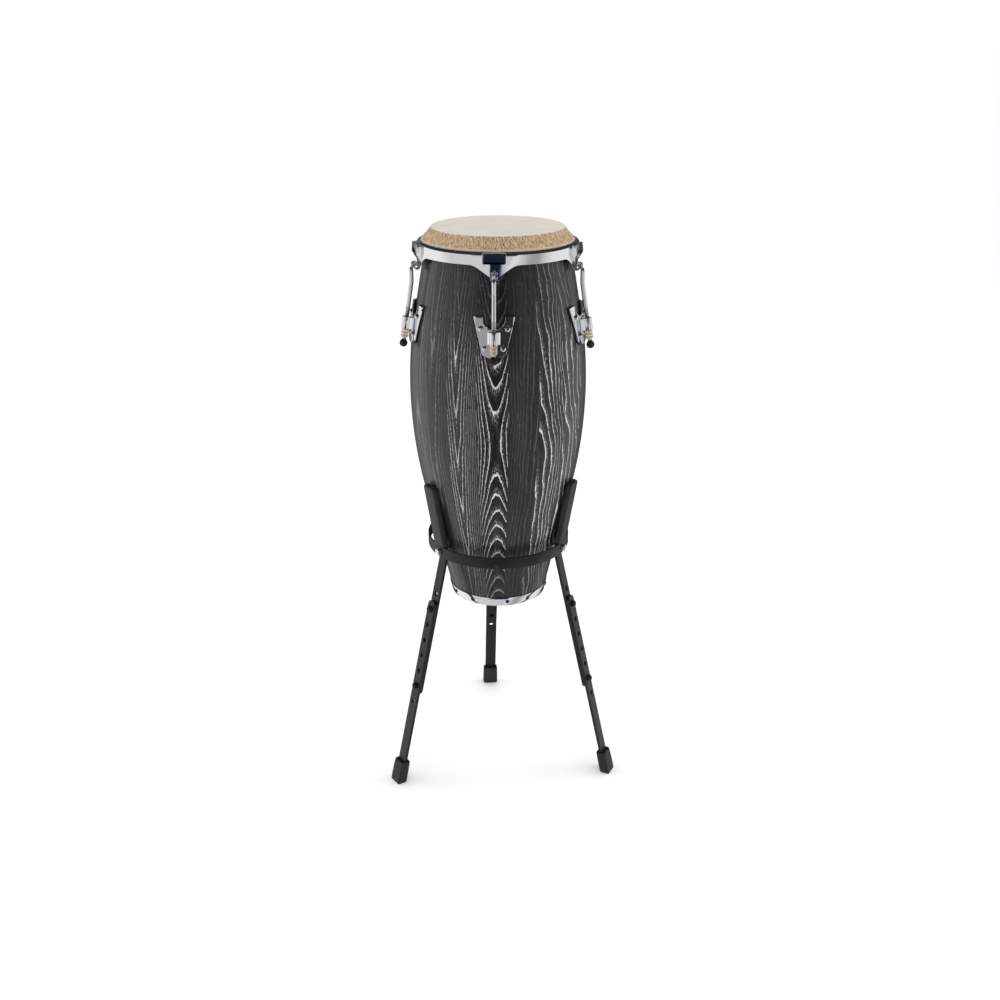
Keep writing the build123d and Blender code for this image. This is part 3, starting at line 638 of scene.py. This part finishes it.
def make_hoop():
    """The rolled band with its gussets, the pressed ears over the lugs and the hook seats."""
    shoulder_r = 7.0 * MM
    lip_in = 150.8 * MM
    bead = 1.7 * MM
    solid = Solid()
    shoulder = arc((HOOP_R - shoulder_r, HOOP_TOP_Z - shoulder_r), shoulder_r, 0, 90, 10)
    lip = arc((lip_in + bead, HOOP_TOP_Z - bead), bead, 90, 270, 8)
    under = [(HOOP_R - HOOP_WALL - 2 * MM, HOOP_TOP_Z - 2 * bead)]
    under += arc((HOOP_R - HOOP_WALL - 1.6 * MM, HOOP_TOP_Z - 2 * bead - 1.6 * MM), 1.6 * MM, 80, 0, 4)
    rows = []
    for i in range(900):
        turn = 360 * i / 900
        low = band_low(turn)
        nose = 0.7 * MM
        outer_foot = arc((HOOP_R - nose, low + nose), nose, -80, 0, 3)
        inner_foot = arc((HOOP_R - HOOP_WALL + nose, low + nose), nose, 180, 260, 3)
        section = outer_foot + shoulder + lip + under + inner_foot
        c, s = cos(radians(turn)), sin(radians(turn))
        rows.append([(r * c, r * s, z) for r, z in section])
    solid.rings(rows, closed=True)
    piece("hoop_band", "counterhoop", CHROME, solid.vertices, solid.faces,
          replaces=["counterhoop"])
    ears, seats = Solid(), Solid()
    for lug in LUG_ANGLES:
        add_ear(ears, spin(lug))
        add_seat(seats, spin(lug))
    piece("hoop_ears", "counterhoop", CHROME, ears.vertices, ears.faces)
    # The hook seats take the darker chrome copy as painted shade for the shadow under the ears
    piece("hook_seats", "counterhoop", SHADED_CHROME, seats.vertices, seats.faces)


def add_ear(solid, place):
    """A pressed box over a lug, open below, whose two cheeks run down and back to the band."""
    out_top, out_low = 165.6 * MM, 167.4 * MM
    top, foot, tip = HOOP_TOP_Z - 0.6 * MM, 1132 * MM, 1129.4 * MM
    wide, narrow = 22 * MM, 20 * MM
    undercut = 3.3
    cheek_tip = 1117 * MM
    back = HOOP_R - 1.5 * MM
    outline = [(-wide, top), (wide, top), (wide, foot), (narrow, tip), (-narrow, tip), (-wide, foot)]
    outline = round_corners(outline, 2.6 * MM, 4)
    rim = 0.4 * MM

    def layer(shrink, depth):
        """The outline drawn in by shrink, at a distance behind the leaning face."""
        points = []
        for y, z in outline:
            y_in = y * (1 - shrink / wide)
            z_in = z + (shrink if z < (top + tip) / 2 else -shrink)
            reach = max(0.0, min(1.0, (top - z_in) / (top - foot)))
            face_r = out_top + (out_low - out_top) * reach - max(0.0, foot - z_in) * undercut
            points.append((face_r - depth, y_in, z_in))
        return points

    rows = [[(back, y, z) for y, z in outline], layer(0, rim)]
    for i in range(1, 5):
        swing = radians(90 * i / 4)
        rows.append(layer(rim * (1 - cos(swing)), rim * (1 - sin(swing))))
    solid.rings(rows[::-1], place)
    cheek = [(back, top - 1 * MM), (out_top, top - 1 * MM)]
    cheek += [(out_low - 0.6 * MM, foot), (back, cheek_tip)]
    sheet = 2.4 * MM
    for start in (-wide + 0.2 * MM, wide - 0.2 * MM - sheet):
        rows = [[(r, y, z) for r, z in cheek] for y in (start, start + sheet)]
        solid.rings(rows, place)


def add_seat(solid, place):
    """The hooked seat under an ear that the tuning hook hangs in."""
    seat_r, seat_z = 162.4 * MM, 1105.5 * MM
    inner, outer = 3.4 * MM, 5.9 * MM
    lip_top = 1111.2 * MM
    lip_round = (outer - inner) / 2
    path = arc((seat_r, seat_z), outer, 178, 360, 16)
    path += arc((seat_r + inner + lip_round, lip_top - lip_round), lip_round, 0, 180, 6)
    path += arc((seat_r, seat_z), inner, 360, 178, 12)
    path += [(seat_r - inner, lip_top + 4 * MM), (seat_r - outer, lip_top + 4 * MM)]
    half = 7 * MM
    soft = 0.6 * MM
    rows = []
    for y, shrink in ((-half, soft), (-half + soft, 0.0), (half - soft, 0.0), (half, soft)):
        row = []
        for i, (r, z) in enumerate(path):
            before, after = Vector(path[i - 1]), Vector(path[(i + 1) % len(path)])
            run = (after - before).normalized()
            inward = Vector((-run.y, run.x))
            row.append((r + inward.x * shrink * 0.6, y, z + inward.y * shrink * 0.6))
        rows.append(row)
    solid.rings(rows, place)


def round_corners(points, radius, count):
    """A closed outline with each corner cut by a short curve."""
    made = []
    for i, point in enumerate(points):
        here = Vector(point)
        before = (Vector(points[i - 1]) - here).normalized() * radius
        after = (Vector(points[(i + 1) % len(points)]) - here).normalized() * radius
        for k in range(count + 1):
            t = k / count
            curve = here + before * (1 - t) ** 2 + after * t**2
            made.append((curve.x, curve.y))
    return made


# ---- Tuning hooks, nuts and caps -----------------------------------------------------------------

ROD_R = 173.5 * MM
ROD_HALF = 4.3 * MM
BEND_Z = 1077 * MM
BEND_RADIUS = 15 * MM
SLEEVE_LOW_Z = 987.5 * MM
SLEEVE_HEIGHT = 22 * MM
THREAD_PITCH = 1.25 * MM
THREAD_DEPTH = 0.38 * MM
THREAD_ABOVE_SLEEVE = 21 * MM
CAP_R = 7.8 * MM
CAP_BELOW_SLEEVE = 30.6 * MM


def rod_axis_r(z):
    """Distance of the rod's slanted stretch from the drum's axis at a height."""
    return ROD_R + (BEND_Z - z) * tan(LUG_TILT)


def rod_path():
    """The bent rod from the hook's tip to its lower end, as (r, z, half thickness) points."""
    hook_half = 2.5 * MM
    leg_r, tip_r, arch_z, tip_z = 171.7 * MM, 162.4 * MM, 1109.5 * MM, 1106.2 * MM
    arch_r = (leg_r - tip_r) / 2
    path = [(tip_r, tip_z, hook_half * 0.55), (tip_r, tip_z + 0.8 * MM, hook_half)]
    path += [(r, z, hook_half) for r, z in arc((tip_r + arch_r, arch_z), arch_r, 180, 0, 14)]
    neck_top, neck_low = tip_z + 1.0 * MM, 1098 * MM
    for i in range(1, 7):
        t = i / 6
        ease = t * t * (3 - 2 * t)
        half = hook_half + (ROD_HALF - hook_half) * ease
        path.append((leg_r + (ROD_R - leg_r) * ease, neck_top + (neck_low - neck_top) * t, half))
    reach = BEND_RADIUS * tan(LUG_TILT / 2) * 2.4
    for i in range(9):
        t = i / 8
        corner = Vector((ROD_R, BEND_Z))
        above = Vector((0, reach))
        along = Vector((sin(LUG_TILT), -cos(LUG_TILT))) * reach
        point = corner + above * (1 - t) ** 2 + along * t**2
        path.append((point.x, point.y, ROD_HALF))
    return path


def make_hook(number, lug):
    """A tuning hook: a slim bent hook on a thick rod whose lower end is threaded."""
    path = rod_path()
    segments = 20
    rows = []
    for i, (r, z, half) in enumerate(path):
        before = Vector(path[max(0, i - 1)][:2])
        after = Vector(path[min(len(path) - 1, i + 1)][:2])
        run = (after - before).normalized()
        side = Vector((-run.y, run.x))
        rows.append([
            (r + side.x * half * cos(a), -half * sin(a), z + side.y * half * cos(a))
            for a in (2 * pi * k / segments for k in range(segments))
        ])
    thread_top = Vector((rod_axis_r(SLEEVE_LOW_Z), SLEEVE_LOW_Z))
    down = Vector((sin(LUG_TILT), -cos(LUG_TILT)))
    side = Vector((cos(LUG_TILT), sin(LUG_TILT)))
    length = SLEEVE_HEIGHT + THREAD_ABOVE_SLEEVE + CAP_BELOW_SLEEVE - 1.5 * MM
    steps = int(length / THREAD_PITCH * 6)
    for k in range(steps + 1):
        below = -SLEEVE_HEIGHT - THREAD_ABOVE_SLEEVE + length * k / steps
        centre = thread_top + down * below
        fade = min(1.0, k / 8)
        row = []
        for j in range(segments):
            a = 2 * pi * j / segments
            phase = (below / THREAD_PITCH + j / segments) % 1
            groove = THREAD_DEPTH * fade * abs(2 * phase - 1)
            half = ROD_HALF - groove
            out = side * (half * cos(a))
            row.append((centre.x + out.x, -half * sin(a), centre.y + out.y))
        rows.append(row)
    solid = Solid()
    solid.rings(rows, spin(lug))
    piece(f"hook_rod_{number}", f"hook_{number}", CHROME,
          solid.vertices, solid.faces, replaces=[f"tuning_hook_{number}"])


def make_cap(number, lug):
    """A ball-shaped rubber cap with a short collar and a mould line."""
    below = CAP_BELOW_SLEEVE
    r = rod_axis_r(SLEEVE_LOW_Z) + sin(LUG_TILT) * below
    z = SLEEVE_LOW_Z - cos(LUG_TILT) * below
    ball = arc((0, 0), CAP_R, -88, 56, 26)
    ball = [(x + (0.16 * MM if abs(y) < 0.35 * MM else 0.0), y) for x, y in ball]
    collar = [(5.0 * MM, 6.9 * MM), (4.95 * MM, 7.5 * MM), (4.6 * MM, 7.7 * MM), (4.36 * MM, 7.6 * MM)]
    solid = Solid()
    solid.lathe(ball + collar, 48, slanted(r, z, LUG_TILT, lug))
    piece(f"ball_cap_{number}", f"hook_{number}", GASKET_RUBBER,
          solid.vertices, solid.faces, replaces=[f"rod_cap_{number}"])


# ---- Stand ---------------------------------------------------------------------------------------

KNOB_R = 6.75 * MM
KNOB_HEIGHT = 7 * MM
BAR = 6 * MM
BAR_GAP = 0.1 * MM


def make_knob(name, body, angle):
    """A round knob: fluted rim, domed top with a shallow dimple."""
    low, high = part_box(name)
    centre = spin(-angle) @ ((low + high) / 2)
    flutes = 16
    segments = flutes * 6
    dome = [(1.0, 0.0), (1.0, 0.45), (0.96, 0.66), (0.86, 0.84), (0.70, 0.95), (0.50, 1.0)]
    dome += [(0.42, 0.97), (0.36, 0.86), (0.20, 0.80), (0.02, 0.79)]
    rows = []
    for share, up in dome:
        row = []
        for k in range(segments):
            a = 2 * pi * k / segments
            cut = 0.045 * (0.5 + 0.5 * cos(a * flutes)) if share > 0.9 else 0.0
            r = KNOB_R * (share - cut)
            row.append((r * cos(a), r * sin(a), up * KNOB_HEIGHT))
        rows.append(row)
    base = knob_base(centre)
    solid = Solid()
    solid.rings(rows, facing(base.x, base.z, LEG_TILT, angle))
    shank_r = 5.1 * MM
    shank = [(shank_r, -BAR - BAR_GAP), (shank_r, 0.4 * MM)]
    solid.lathe(shank, 32, facing(base.x, base.z, LEG_TILT, angle))
    piece(f"{name}_head", body, KNOB_PLASTIC,
          solid.vertices, solid.faces, replaces=[name])


def knob_base(centre):
    """The foot of a knob's head on the outer face of the lower bar, from the middle of its box."""
    out = Vector((cos(LEG_TILT), 0, sin(LEG_TILT)))
    head_share = (KNOB_HEIGHT - BAR - BAR_GAP) / 2
    return Vector((centre.x, 0, centre.z)) - out * head_share


def make_foot(number, angle):
    """A moulded rubber boot: softly crowned sides, a recessed collar round the bar, a ribbed sole."""
    low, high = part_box(f"foot_{number}")
    sole_r = hypot(*((low + high) / 2).xy)
    tall = high.z
    half_w, half_d = 17 * MM, 11 * MM
    lean = tan(LEG_TILT)

    def section(z, grow, soft):
        """A rounded rectangle across the boot at a height, following the leg's lean."""
        w, d = half_w + grow, half_d + grow
        points = []
        for cx, cy, start in ((1, 1, 0), (-1, 1, 90), (-1, -1, 180), (1, -1, 270)):
            for y, x in arc((0, 0), soft, start, start + 90, 5):
                points.append((y, x, cx, cy))
        ring = []
        mid = sole_r + (tall / 2 - z) * lean
        for x, y, cx, cy in points:
            ring.append((mid + x + cx * (d - soft), y + cy * (w - soft), z))
        return ring

    levels = [(0.0, -1.4, 3.2), (0.5, -0.5, 3.6), (1.6, -0.1, 4.0), (3.4, 0.0, 4.0), (4.2, -0.5, 3.8),
              (5.0, -0.5, 3.8), (5.8, 0.0, 4.0)]
    rows = [section(z * MM, grow * MM, soft * MM) for z, grow, soft in levels]
    for i in range(1, 12):
        t = i / 12
        z = 5.8 * MM + (tall - 10 * MM) * t
        rows.append(section(z, 0.25 * MM * sin(pi * t) - 0.5 * MM * t, 4 * MM))
    rows.append(section(tall - 2.4 * MM, -0.6 * MM, 4 * MM))
    rows.append(section(tall - 0.8 * MM, -1.2 * MM, 3.6 * MM))
    rows.append(section(tall - 0.1 * MM, -2.4 * MM, 3.0 * MM))
    rows.append(section(tall - 0.6 * MM, -3.4 * MM, 2.4 * MM))
    rows.append(section(tall - 3.0 * MM, -4.0 * MM, 2.0 * MM))
    solid = Solid()
    solid.rings(rows, spin(angle))
    piece(f"boot_{number}", f"lower_leg_{number}", FOOT_RUBBER,
          solid.vertices, solid.faces, replaces=[f"foot_{number}"], soft_edge=50)


ARM_SLOPE = 0.176
ARM_BEND_Z = 537 * MM
ARM_MID_R = 143.8 * MM


def make_pad(number, angle):
    """A thick moulded rubber sleeve over an arm: a rounded bar with a domed, closed top."""
    low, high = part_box(f"arm_pad_{number}")
    tilt = atan2(ARM_SLOPE, 1)
    length = (high.z - low.z) / cos(tilt)
    base_r = ARM_MID_R + (low.z - ARM_BEND_Z) * ARM_SLOPE
    half_w, half_d = 19 * MM, 6.75 * MM

    def section(up, shrink):
        w, d = half_w - shrink, half_d - shrink * 0.7
        soft = min(4.4 * MM, d * 0.9)
        ring = []
        for cx, cy, start in ((1, 1, 0), (-1, 1, 90), (-1, -1, 180), (1, -1, 270)):
            for x, y in arc((0, 0), soft, start, start + 90, 6):
                crown = 0.5 * MM * (1 - (abs(cy * (w - soft) + y) / w) ** 2)
                ring.append((x + cx * (d - soft) + cx * crown, y + cy * (w - soft), up))
        return ring

    rows = [section(0, 0.8 * MM), section(0.5 * MM, 0.2 * MM), section(1.4 * MM, 0)]
    rows += [section(1.4 * MM + (length - 9 * MM) * i / 16, 0) for i in range(1, 17)]
    for i in range(1, 8):
        swing = radians(90 * i / 7)
        rows.append(section(length - 7.6 * MM + 6.6 * MM * sin(swing), 4.6 * MM * (1 - cos(swing))))
    solid = Solid()
    solid.rings(rows, slanted(base_r, low.z, -tilt, angle))
    piece(f"pad_sleeve_{number}", "stand", PAD_RUBBER,
          solid.vertices, solid.faces, replaces=[f"arm_pad_{number}"], soft_edge=50)


def make_ring_bolts():
    """Hexagon bolts through the ring, with chamfered heads on a pressed washer face."""
    solid = Solid()
    ring_r, bolt_z = 150 * MM, 521 * MM
    across_corner = 7.5 * MM
    for angle in LEG_ANGLES:
        place = facing(ring_r, bolt_z, 0, angle)
        washer = ((7.2, 0.02), (7.3, 0.3), (7.2, 0.7), (6.4, 0.9))
        solid.lathe([(r * MM, up * MM) for r, up in washer], 48, place)
        rows = []
        for up, limit in ((0.8, 1.0), (4.6, 1.0), (5.1, 0.945), (5.5, 0.86), (5.45, 0.80), (5.2, 0.60)):
            row = []
            for k in range(72):
                a = 2 * pi * k / 72
                sector = (a % (pi / 3)) - pi / 6
                hexagon = across_corner * cos(pi / 6) / cos(sector)
                r = min(hexagon, across_corner * limit) if limit > 0.87 else across_corner * limit
                row.append((r * cos(a), r * sin(a), up * MM))
            rows.append(row)
        solid.rings(rows, place)
        solid.lathe([(4 * MM, -22 * MM), (4 * MM, 0.5 * MM)], 32, place)
    piece("ring_bolt_heads", "stand", BRIGHT_BOLT, solid.vertices, solid.faces,
          replaces=["ring_bolts"])


# ---- Everything in its place ---------------------------------------------------------------------

make_shell()
make_head()
make_hoop()
for number, lug in enumerate(LUG_ANGLES, start=1):
    make_hook(number, lug)
    make_cap(number, lug)
    tidy_node(f"side_plate_{number}", CHROME, 0.45 * MM)
    tidy_node(f"side_plate_gasket_{number}", GASKET_RUBBER, 0.3 * MM)
    tidy_node(f"tuning_nut_{number}", NICKEL, 0.35 * MM)
for number, angle in enumerate(LEG_ANGLES, start=1):
    make_foot(number, angle)
    make_pad(number, angle)
    make_knob(f"leg_knob_{number}_top", f"knob_{number}_top", angle)
    make_knob(f"leg_knob_{number}_low", f"knob_{number}_low", angle)
    tidy_node(f"arm_{number}", COAT, 0.5 * MM)
    tidy_node(f"upper_leg_{number}", COAT, 0.6 * MM)
    tidy_node(f"lower_leg_{number}", COAT, 0.6 * MM)
make_ring_bolts()
tidy_node("basket_ring", COAT, 0.5 * MM)
tidy_node("bottom_ring", CHROME, 0.3 * MM)
tidy_node("bottom_ring_screws", COAT)
tidy_node("flesh_hoop", ZINC)
tidy_node("side_plate_bolts", CHROME)
tidy_node("side_plate_nuts", ZINC, 0.3 * MM)
tidy_node("backing_plates", ZINC, 0.3 * MM)
tidy_node("tuning_washers", ZINC, 0.15 * MM)
tidy_node("ring_nuts", ZINC, 0.3 * MM)

# ---- Floor, light and camera ---------------------------------------------------------------------


def stage_plane(name, width, height, place, material):
    """A flat sheet of the studio, not of the object."""
    mesh = bpy.data.meshes.new(name)
    w, h = width / 2, height / 2
    mesh.from_pydata([(-w, -h, 0), (w, -h, 0), (w, h, 0), (-w, h, 0)], [], [(0, 1, 2, 3)])
    mesh.materials.append(material)
    obj = bpy.data.objects.new(name, mesh)
    obj.matrix_world = place
    bpy.context.scene.collection.objects.link(obj)
    return obj


def soft_light(name, position, aim, width, height, power):
    """A large soft box at a position, aimed at a point."""
    light = bpy.data.lights.new(name, "AREA")
    light.shape = "RECTANGLE"
    light.size = width
    light.size_y = height
    light.energy = power
    obj = bpy.data.objects.new(name, light)
    obj.visible_glossy = False
    obj.location = position
    obj.rotation_euler = (Vector(aim) - Vector(position)).to_track_quat("-Z", "Y").to_euler()
    bpy.context.scene.collection.objects.link(obj)
    return obj


SKY = 1.0
FLOOR_SIZE = 400


def room_light(tree):
    """What mirrors see: pale screens all round, a dark ceiling, and on the viewer's side a dark
    gap in the screens beside a grey and a black card. The second value is the gap alone."""
    coordinates = tree.nodes.new("ShaderNodeTexCoord")
    split = tree.nodes.new("ShaderNodeSeparateXYZ")
    tree.links.new(coordinates.outputs["Generated"], split.inputs[0])
    x, y, z = [Wire(tree, out) for out in split.outputs]
    turn = x.math("ARCTAN2", y * -1) * (180 / pi)
    climb = z.math("ARCSINE") * (180 / pi)
    aside = turn.size()
    screens = window(aside, 78, 132, 14) * 0.28 + 0.72 - turn.step_up(-30, 30) * 0.08
    screens = screens + window(turn, 24, 34, 4) * 0.22 - window(turn, 44, 66, 8) * 0.25
    screens = screens - aside.step_up(134, 150) * 0.58
    ahead = climb.step_up(-7, -1)
    ceiling = climb.step_up(11, 20)
    grey_card = window(turn, -34, -3, 1.5) * ahead * ceiling.invert()
    black_card = window(turn, -3, 30, 1.5) * ahead * ceiling.invert()
    gap = climb * -0.5 + 5
    low_gap = (aside - gap).step_up(-3, 3).invert() * window(climb, -42, -4, 3)
    light = screens * (grey_card + black_card + low_gap + ceiling).clamp().invert()
    light = light + grey_card * 0.37 + black_card * 0.03 + low_gap * 0.020 + ceiling * 0.03
    return light, low_gap


def make_world():
    """A pale, even sky for sight and matt surfaces, and a studio room for whatever mirrors it."""
    world = bpy.data.worlds.new("studio")
    world.use_nodes = True
    bpy.context.scene.world = world
    tree = world.node_tree
    sky = tree.nodes["Background"]
    sky.inputs["Color"].default_value = (1.0, 1.0, 1.0, 1.0)
    sky.inputs["Strength"].default_value = SKY
    room = tree.nodes.new("ShaderNodeBackground")
    light, gap = room_light(tree)
    plug(room.inputs["Color"], blend_colours(tree, gap, (1.0, 0.985, 0.99), (0.6, 0.75, 1.5)))
    plug(room.inputs["Strength"], light)
    path = tree.nodes.new("ShaderNodeLightPath")
    blend = tree.nodes.new("ShaderNodeMixShader")
    tree.links.new(path.outputs["Is Glossy Ray"], blend.inputs[0])
    tree.links.new(sky.outputs[0], blend.inputs[1])
    tree.links.new(room.outputs[0], blend.inputs[2])
    tree.links.new(blend.outputs[0], tree.nodes["World Output"].inputs["Surface"])


make_world()
floor = stage_plane("floor", FLOOR_SIZE, FLOOR_SIZE, Matrix(), pale_floor())
floor.visible_glossy = False
drum_middle, drum_top = (0, 0, 0.75), (0, 0, 1.1)
soft_light("left_box", (-2.6, 0.25, 1.25), drum_middle, width=1.6, height=2.4, power=16)
soft_light("right_box", (2.6, 0.35, 1.25), drum_middle, width=1.6, height=2.4, power=22)
soft_light("top_box", (0.0, 0.6, 3.2), drum_top, width=2.4, height=2.4, power=14)

CAMERA_TURN = radians(2.4)
CAMERA_AWAY = 2.262
CAMERA_HEIGHT = 1.518
CAMERA_PITCH = radians(22.05)
CAMERA_ROLL = radians(-0.07)
CAMERA_PAN = radians(-0.094)
CAMERA_LENS = 41.32
SENSOR_WIDTH = 36

camera = bpy.data.objects.new("camera", bpy.data.cameras.new("camera"))
camera.data.lens = CAMERA_LENS
camera.data.sensor_width = SENSOR_WIDTH
camera.location = (CAMERA_AWAY * sin(CAMERA_TURN), -CAMERA_AWAY * cos(CAMERA_TURN), CAMERA_HEIGHT)
heading = Matrix.Rotation(CAMERA_TURN + CAMERA_PAN, 4, "Z")
tilted = heading @ Matrix.Rotation(pi / 2 - CAMERA_PITCH, 4, "X")
camera.rotation_euler = (tilted @ Matrix.Rotation(CAMERA_ROLL, 4, "Z")).to_euler()
bpy.context.scene.collection.objects.link(camera)
bpy.context.scene.camera = camera
bpy.context.scene.view_settings.view_transform = "Standard"
